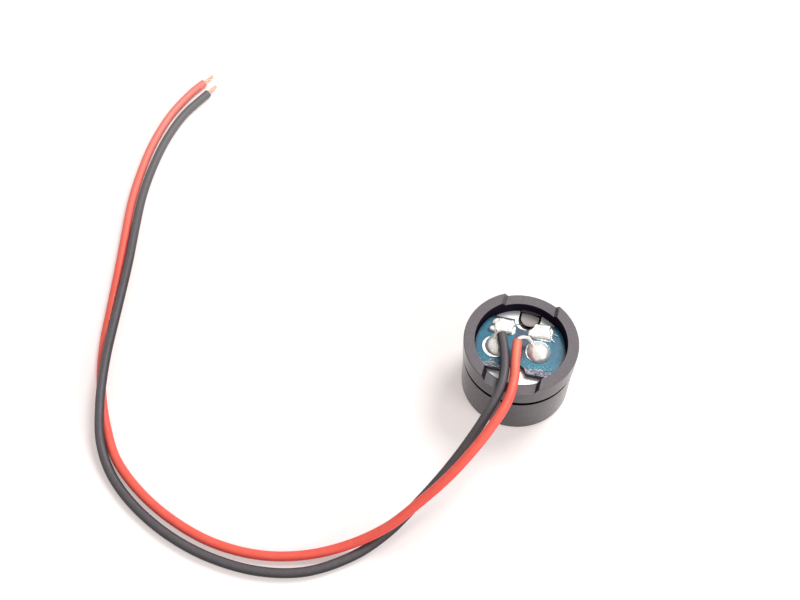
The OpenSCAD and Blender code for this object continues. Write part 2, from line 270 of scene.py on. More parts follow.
class Surface:
    """A node material: one Principled shader, fed by procedural textures in
    the part's own coordinates."""

    def __init__(self, name, **values):
        self.mat = bpy.data.materials.new(name)
        self.mat.use_nodes = True
        self.tree = self.mat.node_tree
        self.shader = self.tree.nodes["Principled BSDF"]
        for key, value in values.items():
            self.shader.inputs[key.replace("_", " ")].default_value = value
        self.coords = self.tree.nodes.new("ShaderNodeTexCoord")
        self.height = None

    def node(self, kind, **settings):
        n = self.tree.nodes.new("ShaderNode" + kind)
        for key, value in settings.items():
            setattr(n, key, value)
        return n

    def link(self, out, into):
        self.tree.links.new(out, into)

    def place(self, output="Object", stretch=(1, 1, 1)):
        """Texture coordinates, in millimetres for Object."""
        m = self.node("Mapping")
        k = 1000 if output == "Object" else 1
        m.inputs["Scale"].default_value = [k * s for s in stretch]
        self.link(self.coords.outputs[output], m.inputs["Vector"])
        return m.outputs["Vector"]

    def noise(self, scale, detail=3, rough=0.55, vector=None, distort=0.0):
        n = self.node("TexNoise")
        n.inputs["Scale"].default_value = scale
        n.inputs["Detail"].default_value = detail
        n.inputs["Roughness"].default_value = rough
        n.inputs["Distortion"].default_value = distort
        self.link(vector or self.place(), n.inputs["Vector"])
        return n.outputs["Fac"]

    def voronoi(self, scale, feature="F1", output="Distance", vector=None):
        n = self.node("TexVoronoi", feature=feature)
        n.inputs["Scale"].default_value = scale
        self.link(vector or self.place(), n.inputs["Vector"])
        return n.outputs[output]

    def ramp(self, value, low, high, a=0.0, b=1.0):
        """Maps value from low..high to a..b, clamped."""
        n = self.node("MapRange")
        n.clamp = True
        n.inputs["From Min"].default_value = low
        n.inputs["From Max"].default_value = high
        n.inputs["To Min"].default_value = a
        n.inputs["To Max"].default_value = b
        self.link(value, n.inputs["Value"])
        return n.outputs["Result"]

    def math(self, op, a, b=None):
        n = self.node("Math", operation=op)
        for socket, value in zip(n.inputs, (a, b)):
            if value is None:
                continue
            if isinstance(value, (int, float)):
                socket.default_value = value
            else:
                self.link(value, socket)
        return n.outputs["Value"]

    def both(self, *masks):
        """Product of two or more values: a mask that needs all of them."""
        out = masks[0]
        for mask in masks[1:]:
            out = self.math("MULTIPLY", out, mask)
        return out

    def mix(self, fac, a, b):
        """Colour a where fac is 0 and b where it is 1."""
        n = self.node("Mix", data_type="RGBA")
        if isinstance(fac, (int, float)):
            n.inputs[0].default_value = fac
        else:
            self.link(fac, n.inputs[0])
        for socket, value in ((n.inputs[6], a), (n.inputs[7], b)):
            if isinstance(value, (tuple, list)):
                socket.default_value = (*value[:3], 1)
            else:
                self.link(value, socket)
        return n.outputs[2]

    def set(self, socket, value):
        self.link(value, self.shader.inputs[socket])

    def bump(self, height, depth, strength=1.0):
        """Adds relief; depth is in millimetres."""
        n = self.node("Bump")
        n.inputs["Strength"].default_value = strength
        n.inputs["Distance"].default_value = depth * MM
        self.link(height, n.inputs["Height"])
        if self.height is not None:
            self.link(self.height, n.inputs["Normal"])
        self.height = n.outputs["Normal"]
        self.link(self.height, self.shader.inputs["Normal"])

    def axis(self, name):
        n = self.node("SeparateXYZ")
        self.link(self.place(), n.inputs["Vector"])
        return n.outputs[name]

    def distance_to(self, x, y):
        """Distance in the XY plane from a point, in millimetres."""
        dx = self.math("SUBTRACT", self.axis("X"), x)
        dy = self.math("SUBTRACT", self.axis("Y"), y)
        return self.math("SQRT", self.math("ADD", self.both(dx, dx), self.both(dy, dy)))

    def facing_up(self, low=0.35, high=0.9):
        """1 where the surface faces along +Z of the part."""
        n = self.node("SeparateXYZ")
        self.link(self.coords.outputs["Normal"], n.inputs["Vector"])
        return self.ramp(n.outputs["Z"], low, high)

    def band(self, value, low, high, soft=0.04):
        """1 where value lies between low and high."""
        up = self.ramp(value, low - soft, low + soft)
        down = self.ramp(value, high - soft, high + soft, 1, 0)
        return self.both(up, down)


def scaled(colour, *factors):
    """The colour times one factor, or times one for each channel."""
    if len(factors) == 1:
        factors *= 3
    return tuple(c * f for c, f in zip(colour, factors))


def moulded(name, colour, roughness, zones=(), ejector=None):
    """Dark moulded plastic: smooth walls that mirror the surroundings at a
    glancing angle, and a fine grain on the upward faces, painted paler as lit
    from above. Each zone is (colour, gloss, function of the surface that
    gives its mask), and ejector is the centre of a faint round mark."""
    s = Surface(name)
    up = s.facing_up()
    flow = s.ramp(s.noise(0.7, 4, 0.6, distort=0.4), 0.3, 0.7)
    speck = s.ramp(s.noise(11, 3, 0.7), 0.42, 0.68)
    wall = s.mix(flow, scaled(colour, 0.9), scaled(colour, 1.12))
    # Painted light: the upward faces are paler, as lit from above.
    top = s.mix(speck, scaled(colour, 1.75, 1.65, 1.62), scaled(colour, 2.5, 2.3, 2.3))
    tone = s.mix(up, wall, top)
    shine = 0.5
    for shade, gloss, zone in zones:
        mask = zone(s)
        tone = s.mix(mask, tone, shade)
        rest = s.both(shine, s.math("SUBTRACT", 1, mask))
        shine = s.math("ADD", rest, s.both(mask, gloss))
    s.set("Base Color", tone)
    s.set("Specular IOR Level", shine)
    wear = s.ramp(s.noise(2.4, 4), 0.3, 0.7, roughness - 0.04, roughness + 0.06)
    s.set("Roughness", s.math("ADD", wear, s.both(up, 0.24)))
    s.bump(s.both(s.noise(13, 3, 0.6), s.ramp(up, 0, 1, 0.12, 1)), 0.03)
    s.bump(s.noise(1.3, 2), 0.008)
    if ejector:
        edge = s.math("ABSOLUTE", s.math("SUBTRACT", s.distance_to(*ejector), EJECTOR_R))
        s.bump(s.ramp(edge, 0.0, 0.1), 0.03)
    return s.mat


def within(s, radius, soft):
    """1 inside a radius about the part's axis."""
    return s.ramp(s.distance_to(0, 0), radius, radius + soft, 1, 0)


def bore_shade_zone(s):
    """Painted shade on the deep inner wall of the base ring, over the board."""
    below_rim = s.ramp(s.axis("Z"), RIM_TOP - 0.12, RIM_TOP, 1, 0)
    return s.both(within(s, BORE_R + 0.03, 0.05), below_rim)


def slot_shade_zone(s):
    """Painted shade on the side walls of the near slot, over which the leads leave."""
    outside_bore = s.ramp(s.distance_to(0, 0), BORE_R - 0.01, BORE_R + 0.05)
    height = s.band(s.axis("Z"), RIM_TOP - SLOT_DEPTH + 0.05, RIM_TOP - 0.06, 0.02)
    near = s.ramp(s.axis("Y"), 0, -1)
    return s.both(near, outside_bore, within(s, RING_R - 0.16, 0.08), height)


def seam_gap_and_shade_zone(s):
    """Black over the gap between cover and base ring, and painted shade on the
    edges beside it. The band is wider than the gap, and more so at the part's
    left and right, as it looks in the photograph."""
    z = s.axis("Z")
    sides = s.ramp(s.math("ABSOLUTE", s.axis("X")), 3, 5)
    gap = s.band(z, SEAM_LOW - 0.19, SEAM_HIGH + 0.08, 0.02)
    wide_shade = s.band(z, SEAM_LOW - 0.29, SEAM_HIGH + 0.14, 0.03)
    return s.math("MAXIMUM", gap, s.both(sides, wide_shade))


def lit_key_zone(s):
    """Painted light on the upper face of the locating key."""
    return s.both(within(s, 4.5, 0.1), s.band(s.axis("Z"), KEY_TOP - 0.08, KEY_TOP + 0.1))


def lit_heel_zone(s):
    """Painted light on the upper face of the heel behind the key."""
    height = s.band(s.axis("Z"), HEEL_TOP - 0.05, HEEL_TOP + 0.05)
    return s.both(s.facing_up(), within(s, BORE_R - 0.05, 0.06), height)


def metal(name, colour, roughness, grain=30, depth=0.003, streak=(1, 1, 1)):
    s = Surface(name, Metallic=1.0)
    dark = scaled(colour, 0.8)
    n = s.noise(grain, 3, 0.6, vector=s.place(stretch=streak))
    s.set("Base Color", s.mix(s.ramp(n, 0.3, 0.7), dark, colour))
    s.set("Roughness", s.ramp(n, 0.3, 0.7, roughness * 0.8, roughness * 1.3))
    s.bump(n, depth)
    return s.mat


def make_plate():
    """Bright nickel over pressed steel: brushed, with fine scratches, and with
    a painted reflection and shade of the bore's wall at its left, where it meets the bore."""
    s = Surface("bright_nickel", Metallic=0.4)
    wave = s.noise(0.9, 2)
    fine = s.noise(9, 4, 0.6, vector=s.place(stretch=(3, 0.5, 1)))
    bright = s.mix(s.ramp(wave, 0.3, 0.7), (0.95, 0.95, 0.93), (1.0, 1.0, 0.98))
    # Painted shade and reflection at the left edge, next to the bore's wall.
    rim = s.both(s.ramp(s.distance_to(0, 0), 4.45, 4.62), s.ramp(s.axis("X"), -3.0, -3.6))
    s.set("Base Color", s.mix(rim, bright, (0.05, 0.05, 0.06)))
    s.set("Roughness", s.ramp(fine, 0.35, 0.75, 0.26, 0.38))
    s.bump(wave, 0.01)
    s.bump(fine, 0.0015)
    return s.mat


def make_solder():
    """Tin solder: bright and smooth, with frosted patches, a few pits and
    amber stains, and steep sides made darker and browner with painted shade."""
    s = Surface("bright_solder", Metallic=0.5)
    tin = (1.0, 0.98, 0.93)
    patch = s.noise(1.4, 3, 0.5)
    base = s.mix(s.ramp(patch, 0.40, 0.75), tin, scaled(tin, 0.86))
    base = s.mix(s.ramp(s.noise(3.2, 3, 0.6), 0.56, 0.72, 0, 0.7), base, (0.62, 0.50, 0.36))
    base = s.mix(s.ramp(s.voronoi(2.6), 0.07, 0.14, 0.8, 0), base, (0.16, 0.13, 0.10))
    # Painted shade: the steep sides darker and browner.
    steep_shade = s.both(s.facing_up(0.65, 0.38), 0.5)
    s.set("Base Color", s.mix(steep_shade, base, (0.42, 0.32, 0.28)))
    s.set("Roughness", s.ramp(patch, 0.3, 0.75, 0.24, 0.42))
    s.bump(patch, 0.03)
    s.bump(s.noise(18, 2, 0.6), 0.002)
    return s.mat


MASK_BLUE = (0.022, 0.205, 0.335)


def mask_finish(s):
    """Blue solder mask: glossy, with flow marks, dust and pale flecks.
    Returns the colour."""
    cloud = s.noise(1.1, 4, 0.6)
    fleck = s.noise(12, 3, 0.7)
    tone = s.mix(s.ramp(cloud, 0.3, 0.7), scaled(MASK_BLUE, 0.8), (0.036, 0.245, 0.375))
    tone = s.mix(s.ramp(fleck, 0.62, 0.78, 0, 0.5), tone, (0.10, 0.42, 0.50))
    s.bump(cloud, 0.02)
    s.bump(s.noise(18, 2), 0.004)
    return tone


def shaded_rim(s, tone):
    """The colour tone, darker towards the board's rim."""
    rim = s.ramp(s.distance_to(0, 0), BOARD_R - 0.3, BOARD_R - 0.05)
    return s.mix(s.both(rim, 0.75), tone, (0.02, 0.05, 0.08))


def make_board():
    """Laminate under blue mask. The strip between the copper areas is darker,
    and so is the upper left, and the far edge is darkened with painted shade.
    Towards the two near flats the mask has painted teal glints and ends in
    torn laminate, and the board's side walls show the laminate's fibres,
    made dark with painted shade."""
    s = Surface("blue_solder_mask", Specular_IOR_Level=0.5, Coat_Weight=0.3, Coat_Roughness=0.12)
    tone = mask_finish(s)
    x, y = s.axis("X"), s.axis("Y")
    wobble = s.both(s.noise(1.6, 2), 0.35)
    gap = s.ramp(s.math("ADD", s.math("ABSOLUTE", x), wobble), 0.85, 1.05, 1, 0)
    above = s.ramp(y, -2.3, -1.5, 0, 0.85)
    bare = s.mix(s.ramp(s.noise(2.2, 3), 0.4, 0.6), (0.060, 0.060, 0.105), (0.05, 0.12, 0.16))
    tone = s.mix(s.both(gap, above), tone, bare)
    upper_left = s.both(s.ramp(x, -1.2, -2.4), s.ramp(y, 2.3, 3.1), 0.7)
    tone = shaded_rim(s, s.mix(upper_left, tone, (0.07, 0.11, 0.13)))

    # Painted glints: teal flecks towards the near flats.
    painted_glint = s.both(s.ramp(s.noise(5, 3, 0.7), 0.52, 0.6), s.ramp(y, -1.2, -1.9), 0.85)
    tone = s.mix(painted_glint, tone, (0.14, 0.62, 0.68))
    # Painted shade along the far edge.
    far_edge_shade = s.both(s.ramp(y, 2.8, 2.95), 0.9)
    tone = s.mix(far_edge_shade, tone, (0.015, 0.03, 0.035))
    shard = s.ramp(s.noise(3.2, 3, 0.7), 0.40, 0.60)
    torn = s.mix(shard, (0.012, 0.010, 0.035), (0.55, 0.55, 0.68))
    ragged = s.math("ADD", y, s.both(s.noise(1.7, 3), 1.1))
    tone = s.mix(s.ramp(ragged, -1.78, -1.92), tone, torn)

    # Painted shade: the sawn side walls are dark over the laminate's fibres.
    sawn = s.ramp(s.axis("Z"), BOARD_TOP - 0.03, BOARD_TOP - 0.005, 1, 0)
    fibre = s.noise(7, 3, 0.7, vector=s.place(stretch=(1, 1, 4)))
    side = s.mix(s.ramp(fibre, 0.4, 0.65), (0.012, 0.012, 0.02), (0.05, 0.055, 0.07))
    s.set("Base Color", s.mix(sawn, tone, side))
    s.set("Roughness", s.ramp(sawn, 0, 1, 0.22, 0.6))
    return s.mat


def make_copper():
    """Copper areas: blue mask over them, bare tinned pads where the mask is
    open, told apart by their place."""
    s = Surface("tinned_pads", Specular_IOR_Level=0.5)
    tone = shaded_rim(s, mask_finish(s))
    black_pad = s.math("SUBTRACT", s.distance_to(-2.6, -0.52), 1.33)
    red_pad = s.math("SUBTRACT", s.distance_to(1.9, -0.2), 1.3)
    lead_pads = s.ramp(s.math("MINIMUM", black_pad, red_pad), -0.01, 0, 1, 0)
    coil_pads = s.both(s.ramp(s.axis("Y"), 1.25, 1.26), within(s, 3.98, 0.02))
    lobe = s.ramp(s.distance_to(-3.45, 1.35), 0.40, 0.41, 1, 0)
    pads = s.math("MAXIMUM", lead_pads, s.math("MAXIMUM", coil_pads, lobe))
    tin = s.mix(s.ramp(s.noise(6, 3), 0.3, 0.7), (0.88, 0.87, 0.83), (0.97, 0.96, 0.93))
    s.set("Base Color", s.mix(pads, tone, tin))
    s.set("Metallic", pads)
    s.set("Roughness", s.ramp(pads, 0, 1, 0.22, 0.2))
    s.bump(s.noise(4, 3), 0.01)
    return s.mat


def make_pvc(name, colour, roughness, deep, under, near, far):
    """Extruded PVC: long die lines, mottled from deep to colour, with a satin
    skin. Its tone changes with direction and place: under is painted shade on
    what doesn't face up, near that of the stretch over the buzzer, a painted
    highlight on the red, and far that of the free end."""
    s = Surface(name, Specular_IOR_Level=0.3)
    lines = s.noise(1.0, 3, 0.6, vector=s.place("UV", (26, 0.35, 1)))
    tone = s.mix(s.ramp(s.noise(1.7, 4, 0.6), 0.3, 0.7), deep, colour)
    over = s.both(s.ramp(s.axis("Y"), -7, -1), s.ramp(s.axis("X"), -20, -10))
    # Painted highlight: the stretch over the buzzer takes the near tone.
    tone = s.mix(over, tone, near)
    pale = tuple(min(1, c) for c in scaled(colour, 1.12))
    tone = s.mix(s.ramp(lines, 0.35, 0.75, 0, 0.35), tone, pale)
    # Painted shade: what doesn't face up takes the under tone.
    tone = s.mix(s.facing_up(0.45, 0.95), under, tone)
    end = s.both(s.ramp(s.axis("Y"), 2, 26), s.ramp(s.axis("X"), -10, -20))
    s.set("Base Color", s.mix(end, tone, far))
    s.set("Roughness", s.ramp(s.noise(5, 3), 0.3, 0.7, roughness - 0.05, roughness + 0.08))
    s.bump(lines, 0.008)
    s.bump(s.noise(0.8, 3), 0.03)
    s.bump(s.noise(14, 2), 0.004)
    return s.mat


def make_winding():
    """Enamelled copper: orange on the coil, dark brown on its two ends."""
    s = Surface("enamelled_winding", Metallic=0.6)
    turn = s.noise(6, 3, 0.6, vector=s.place(stretch=(0.3, 0.3, 9)))
    wound = s.mix(s.ramp(turn, 0.3, 0.7), (0.50, 0.18, 0.07), (0.72, 0.30, 0.12))
    s.set("Base Color", s.mix(s.ramp(s.axis("Z"), 6.2, 6.5), wound, (0.16, 0.07, 0.05)))
    s.set("Roughness", s.ramp(turn, 0.3, 0.7, 0.2, 0.35))
    s.bump(turn, 0.02)
    return s.mat


def make_strand():
    """Tinned strands: white at the board, coppery at the free ends."""
    s = Surface("tinned_strand", Metallic=0.6)
    n = s.noise(9, 3, 0.6)
    far = s.ramp(s.axis("X"), -20, -30)
    tone = s.mix(far, (0.95, 0.92, 0.87), (0.80, 0.45, 0.32))
    s.set("Base Color", s.mix(s.ramp(n, 0.35, 0.7, 0, 0.4), tone, (0.70, 0.55, 0.45)))
    s.set("Roughness", s.ramp(n, 0.3, 0.7, 0.22, 0.4))
    s.bump(n, 0.01)
    return s.mat


def make_fibre():
    """Broken laminate at the sawn flats: pale glassy facets."""
    s = Surface("laminate_burr", Specular_IOR_Level=0.7)
    n = s.noise(5, 3, 0.7)
    s.set("Base Color", s.mix(s.ramp(n, 0.42, 0.55), (0.10, 0.10, 0.19), (1.0, 0.97, 1.0)))
    s.set("Roughness", s.ramp(n, 0.3, 0.7, 0.5, 0.15))
    s.bump(n, 0.03)
    return s.mat


PLASTIC = (0.068, 0.062, 0.069)
BLACK = (0.003, 0.002, 0.003)
# The seam zones paint black on the gap and shade beside it; the ring's other zones paint shade on the
# bore and the near slot's walls, and light on the key's and heel's tops.
COVER_ZONES = ((BLACK, 0.0, seam_gap_and_shade_zone),)
RING_ZONES = (
    ((0.016, 0.012, 0.024), 0.0, bore_shade_zone),
    ((0.024, 0.016, 0.026), 0.2, slot_shade_zone),
    ((0.50, 0.45, 0.43), 0.3, lit_key_zone),
    ((0.13, 0.10, 0.14), 0.3, lit_heel_zone),
    (BLACK, 0.0, seam_gap_and_shade_zone),
)
MATERIALS = {
    "cover_plastic": moulded("moulded_cover", PLASTIC, 0.2, COVER_ZONES, ejector=(-3.6, 0.5)),
    "ring_plastic": moulded("moulded_ring", PLASTIC, 0.2, RING_ZONES),
    "spring_steel": metal("rolled_spring_steel", (0.62, 0.63, 0.66), 0.25, 12, 0.002, (0.2, 4, 1)),
    "magnet_ferrite": metal("ground_ferrite", (0.16, 0.16, 0.17), 0.55, 24, 0.006),
    "soft_iron": metal("turned_iron", (0.62, 0.62, 0.64), 0.3, 10, 0.003, (1, 1, 6)),
    "enamelled_copper": make_winding(),
    "nickel_plate": make_plate(),
    "solder_mask": make_board(),
    "tinned_copper": make_copper(),
    "solder": make_solder(),
    "tinned_wire": make_strand(),
    "black_pvc": make_pvc(
        "black_insulation",
        (0.125, 0.110, 0.118),
        0.42,
        deep=(0.095, 0.083, 0.090),
        under=(0.028, 0.024, 0.028),
        near=(0.125, 0.108, 0.118),
        far=(0.17, 0.155, 0.16),
    ),
    "red_pvc": make_pvc(
        "red_insulation",
        (1.0, 0.155, 0.105),
        0.36,
        deep=(0.96, 0.12, 0.085),
        under=(0.95, 0.10, 0.085),
        near=(1.0, 0.28, 0.18),
        far=(1.0, 0.27, 0.22),
    ),
}
FIBRE = make_fibre()

# ---- Leads ----

# The points of the leads and of their stripped ends, as in the part's source
BLACK_ROUTE = [
    (-2.15, 0.49, 8.3), (-1.52, -1.43, 8.35), (-1.07, -3.79, 8.45),
    (-1.13, -6.15, 8.42), (-1.93, -8.9, 7.8), (-3.27, -11.82, 6.4),
    (-4.99, -14.74, 4.6), (-7.08, -17.71, 2.7), (-9.4, -20.9, 1.3),
    (-12.31, -23.78, 0.6), (-16.35, -26.28, 0.5), (-21.03, -27.32, 0.5),
    (-26.09, -27.07, 0.5), (-30.82, -25.82, 0.5), (-35.25, -23.67, 0.5),
    (-38.83, -20.92, 0.6), (-41.16, -17.72, 1.1), (-42.51, -14.01, 1.7),
    (-43.36, -10.9, 1.8), (-44.16, -7.39, 1.6), (-44.85, -3.88, 1.2),
    (-45.6, 0.59, 0.98), (-46.4, 5.08, 0.78), (-47.33, 9.56, 0.6),
    (-48.17, 14.33, 0.5), (-48.46, 18.86, 0.5), (-48.28, 23.49, 0.5),
    (-47.43, 27.83, 0.5), (-45.62, 31.96, 0.5),
]
RED_ROUTE = [
    (-0.38, -0.03, 8.35), (-0.23, -2.17, 8.48), (0.06, -4.65, 8.55),
    (-0.13, -7.3, 8.62), (-1.04, -10.05, 8.45), (-2.41, -12.78, 7.7),
    (-4.32, -15.67, 6.4), (-6.73, -18.36, 4.7), (-9.39, -20.85, 2.9),
    (-12.89, -22.95, 1.3), (-17, -24.73, 0.6), (-21.52, -25.71, 0.5),
    (-26.36, -25.52, 0.5), (-30.97, -24.2, 0.5), (-35.29, -22.03, 0.5),
    (-38.98, -19.13, 0.5), (-41.47, -15.62, 0.5), (-43.22, -12.29, 0.5),
    (-44.46, -9.16, 0.5), (-45.43, -5.59, 0.5), (-46.23, -1.46, 0.5),
    (-47.18, 3.51, 0.5), (-48.15, 8.25, 0.5), (-49.1, 13.03, 0.5),
    (-49.6, 17.79, 0.5), (-49.68, 22.49, 0.5), (-49.11, 27.18, 0.5),
    (-47.84, 31.2, 0.5), (-46.68, 33.51, 0.5),
]
BLACK_STRIP = [
    (-2.2, 0.1, 8.3), (-2.33, 0.48, 8.3), (-2.58, 0.62, 8.15),
    (-2.75, 0.38, 7.9), (-2.76, -0.05, 7.65), (-2.68, -0.45, 7.45),
]
RED_STRIP = [
    (-0.36, -0.33, 8.36), (-0.3, 0.22, 8.38), (0.08, 0.5, 8.4),
    (0.62, 0.54, 8.34), (1.08, 0.26, 8.12), (1.42, -0.12, 7.75),
]


def add_lead(colour, route, strip):
    """One lead: its insulation, the strands at the free end and the strands
    that bend down into the solder."""
    tinned = MATERIALS["tinned_wire"]
    line = smooth_line(route, 0.25)

    def swell(s):
        return LEAD_R * (1 + 0.012 * noise.noise(Vector((s * 60, len(colour), 0))))

    verts, faces, uvs = [], [], []
    cut = ((0.06, 0.985), (0.015, 0.93), (0, 0.8), (0.03, 0.44), (0.2, 0.42))
    profile = [(step, LEAD_R * share) for step, share in cut]
    tube_parts(line, swell, 24, verts, faces, uvs, profile)
    skin = make_mesh(f"{colour}_insulation", verts, faces, MATERIALS[f"{colour}_pvc"], uvs=uvs)
    lead = keep(skin, f"{colour}_pvc", f"{colour}_lead")

    away = (line[-1] - line[-2]).normalized()
    past = [line[-1] + away * (i * 0.05) for i in range(-3, round(BARE / 0.05) + 1)]
    tip = strand_bundle(f"{colour}_tip_strands", past, STRAND_R, 4.0, tinned, 0.25, seed=len(colour))
    keep(tip, "tinned_wire", f"{colour}_bare_tip")
    bend = smooth_line(strip, 0.05)
    end = strand_bundle(f"{colour}_soldered_strands", bend, STRAND_R, 3.0, tinned, 0.1, seed=7)
    keep(end, "tinned_wire", f"{colour}_conductor_end")


# ---- Solder ----


def inside(p, loop):
    """True where the 2D point p lies inside the loop."""
    hit = False
    for (ax, ay), (bx, by) in zip(loop, loop[1:] + loop[:1]):
        if (ay > p[1]) != (by > p[1]) and p[0] < (bx - ax) * (p[1] - ay) / (by - ay) + ax:
            hit = not hit
    return hit


def to_segment(p, a, b):
    """Distance of the 2D point p from the line between a and b."""
    ab, ap = (b[0] - a[0], b[1] - a[1]), (p[0] - a[0], p[1] - a[1])
    share = (ab[0] * ap[0] + ab[1] * ap[1]) / max(1e-12, ab[0] ** 2 + ab[1] ** 2)
    t = max(0, min(1, share))
    return math.hypot(ap[0] - ab[0] * t, ap[1] - ab[1] * t)


def round_loop(points, per=5):
    """A closed smooth loop through points, as 2D tuples."""
    n, out = len(points), []
    for i in range(n):
        around = [Vector(points[(i + k) % n]) for k in (-1, 0, 1, 2)]
        out += [tuple(between(*around, k / per)) for k in range(per)]
    return out


def edge_distance(p, loop):
    return min(to_segment(p, a, b) for a, b in zip(loop, loop[1:] + loop[:1]))


def scatter(loop, spacing, rnd):
    """Points inside the loop, on a grid whose points are each moved a little."""
    low = [min(p[i] for p in loop) for i in (0, 1)]
    far = [max(p[i] for p in loop) for i in (0, 1)]
    out = []
    y, row = low[1], 0
    while y < far[1]:
        x = low[0] + (row % 2) * spacing / 2
        while x < far[0]:
            q = (x + rnd.uniform(-0.2, 0.2) * spacing, y + rnd.uniform(-0.2, 0.2) * spacing)
            if inside(q, loop) and edge_distance(q, loop) > spacing * 0.45:
                out.append(Vector(q))
            x += spacing
        y += spacing * 0.87
        row += 1
    return out


def relief(name, outline, base_z, height, material, spacing=0.07, drop=0.03):
    """A closed lump over an outline: height(x, y, distance to the edge). Its
    flat underside lies drop below base_z."""
    loop = round_loop(outline)
    n_edge = len(loop)
    pts = [Vector(p) for p in loop] + scatter(loop, spacing, random.Random(name))
    ring = [(i, (i + 1) % n_edge) for i in range(n_edge)]
    flat, _, tris, *_ = delaunay_2d_cdt(pts, ring, [list(range(n_edge))], 1, 1e-6)
    verts = [(p[0], p[1], base_z + height(p[0], p[1], edge_distance(p, loop))) for p in flat]
    faces = [tuple(t) for t in tris]
    edges = dict.fromkeys(e for f in faces for e in zip(f, f[1:] + f[:1]))
    rim = [(a, b) for a, b in edges if (b, a) not in edges]
    low = {}
    for edge in rim:
        for v in edge:
            if v not in low:
                low[v] = len(verts)
                verts.append((verts[v][0], verts[v][1], base_z - drop))
    for a, b in rim:
        faces.append((b, a, low[a], low[b]))
    following = dict(rim)
    chain = [rim[0][0]]
    while following[chain[-1]] != chain[0]:
        chain.append(following[chain[-1]])
    faces.append(tuple(low[v] for v in reversed(chain)))
    return make_mesh(name, verts, faces, material)


def bulge(d, width, top):
    """Rounded shoulder: rises from 0 at the edge to top, width inside it."""
    t = min(1, d / width)
    return top * math.sqrt(1 - (1 - t) ** 2)


def ridge(x, y, path, width, height):
    """Height of a soft ridge that follows a path."""
    d = min(to_segment((x, y), a, b) for a, b in zip(path, path[1:]))
    return height * math.exp(-((d / width) ** 2))


def rough(x, y, size, depth, seed):
    """Gentle unevenness, size across and up to depth high or low."""
    return depth * noise.noise(Vector((x / size, y / size, seed)))


def dome(name, centre, radius, height, neck, material):
    """Solder drawn up into a cap that meets the pad at 68 degrees; neck is
    (angle, width, reach) towards the conductor, where the cap stretches."""
    steps, sides, slope = 44, 150, math.radians(68)
    verts, faces = [], []
    angle, width, reach = neck
    for k in range(steps):
        a = slope * (1 - k / steps)
        across = math.sin(a) / math.sin(slope)
        rise = (math.cos(a) - math.cos(slope)) / (1 - math.cos(slope))
        for j in range(sides):
            th = 2 * math.pi * j / sides
            off = math.atan2(math.sin(th - angle), math.cos(th - angle))
            wobble = noise.noise(Vector((math.cos(th), math.sin(th), 3)) * 1.5)
            r = radius * (1 + 0.025 * wobble)
            r += reach * math.exp(-((off / width) ** 2)) * across
            x = centre[0] + r * across * math.cos(th)
            y = centre[1] + r * across * math.sin(th)
            dent = noise.noise(Vector((x * 1.6, y * 1.6, 4))) * 0.05 * rise
            verts.append((x, y, JOINT_Z + height * rise + dent))
    foot = len(verts)
    verts += [(x, y, JOINT_Z - 0.02) for x, y, _ in verts[:sides]]
    for j in range(sides):
        m = (j + 1) % sides
        faces.append((foot + j, foot + m, m, j))
        for k in range(steps - 1):
            a = k * sides
            faces.append((a + j, a + m, a + sides + m, a + sides + j))
    faces.append(tuple(foot + j for j in range(sides - 1, -1, -1)))
    faces.append(tuple((steps - 1) * sides + j for j in range(sides)))
    return make_mesh(name, verts, faces, material)


LEFT_LUMP = [
    (-2.74, 2.84), (-2.4, 2.93), (-2.0, 2.9), (-1.5, 2.86), (-1.25, 2.68), (-1.06, 2.3),
    (-1.08, 1.71), (-1.11, 1.25), (-1.49, 1.18), (-2.19, 1.18), (-2.6, 1.12), (-3.04, 1.14),
    (-3.34, 1.16), (-3.6, 1.26), (-3.64, 1.5), (-3.45, 1.72), (-3.2, 1.86), (-3.24, 2.0),
    (-3.38, 2.1), (-3.47, 2.25), (-3.36, 2.5), (-3.18, 2.7),
]
LEFT_GROOVES = (
    [(-3.5, 1.84), (-3.29, 2.12), (-3.04, 2.3), (-2.76, 2.5)],
    [(-3.12, 1.68), (-2.98, 1.4), (-2.82, 1.16)],
)
LEFT_PIT = (-2.41, 2.21)
RIGHT_LUMP = [
    (0.97, 2.85), (1.13, 3.0), (1.38, 3.0), (1.94, 3.05), (2.71, 3.08), (2.78, 2.61),
    (2.9, 2.14), (2.98, 1.42), (2.56, 1.39), (2.17, 1.41), (1.65, 1.36), (1.17, 1.27),
    (0.78, 1.29), (0.53, 1.29), (0.45, 1.65), (0.48, 1.98), (0.72, 2.25), (0.88, 2.45),
]
RIGHT_PITS = ((2.38, 1.92), (2.57, 2.3), (1.92, 1.73), (1.15, 1.42), (1.43, 2.58))
COIL_WIRES = (
    [(2.7, 1.98, 7.55), (2.95, 2.08, 7.52), (3.2, 2.17, 7.42), (3.45, 2.15, 7.34), (3.67, 2.06, 7.31)],
    [(2.75, 1.85, 7.5), (2.95, 1.68, 7.45), (3.13, 1.5, 7.36), (3.41, 1.25, 7.31)],
    [(-3.06, 1.58, 7.5), (-2.88, 1.42, 7.6), (-2.67, 1.24, 7.6), (-2.47, 1.1, 7.5)],
)


def pit(x, y, centre, depth, width_squared):
    """Depth of a small round pit."""
    away = (x - centre[0]) ** 2 + (y - centre[1]) ** 2
    return depth * math.exp(-away / width_squared)


def left_height(x, y, d):
    z = bulge(d, 0.26, 0.36)
    for path in LEFT_GROOVES:
        z -= ridge(x, y, path, 0.07, 0.3) * min(1, d / 0.1)
    flat = min(1, d / 0.25)
    z += rough(x, y, 0.9, 0.07, 1) * flat
    return max(0.0, z - pit(x, y, LEFT_PIT, 0.12 * flat, 0.006))


def right_height(x, y, d):
    flat = min(1, d / 0.25)
    z = bulge(d, 0.26, 0.38) + rough(x, y, 0.9, 0.08, 5) * flat
    for centre in RIGHT_PITS:
        z -= pit(x, y, centre, 0.13, 0.07**2) * flat
    return max(0.0, z)


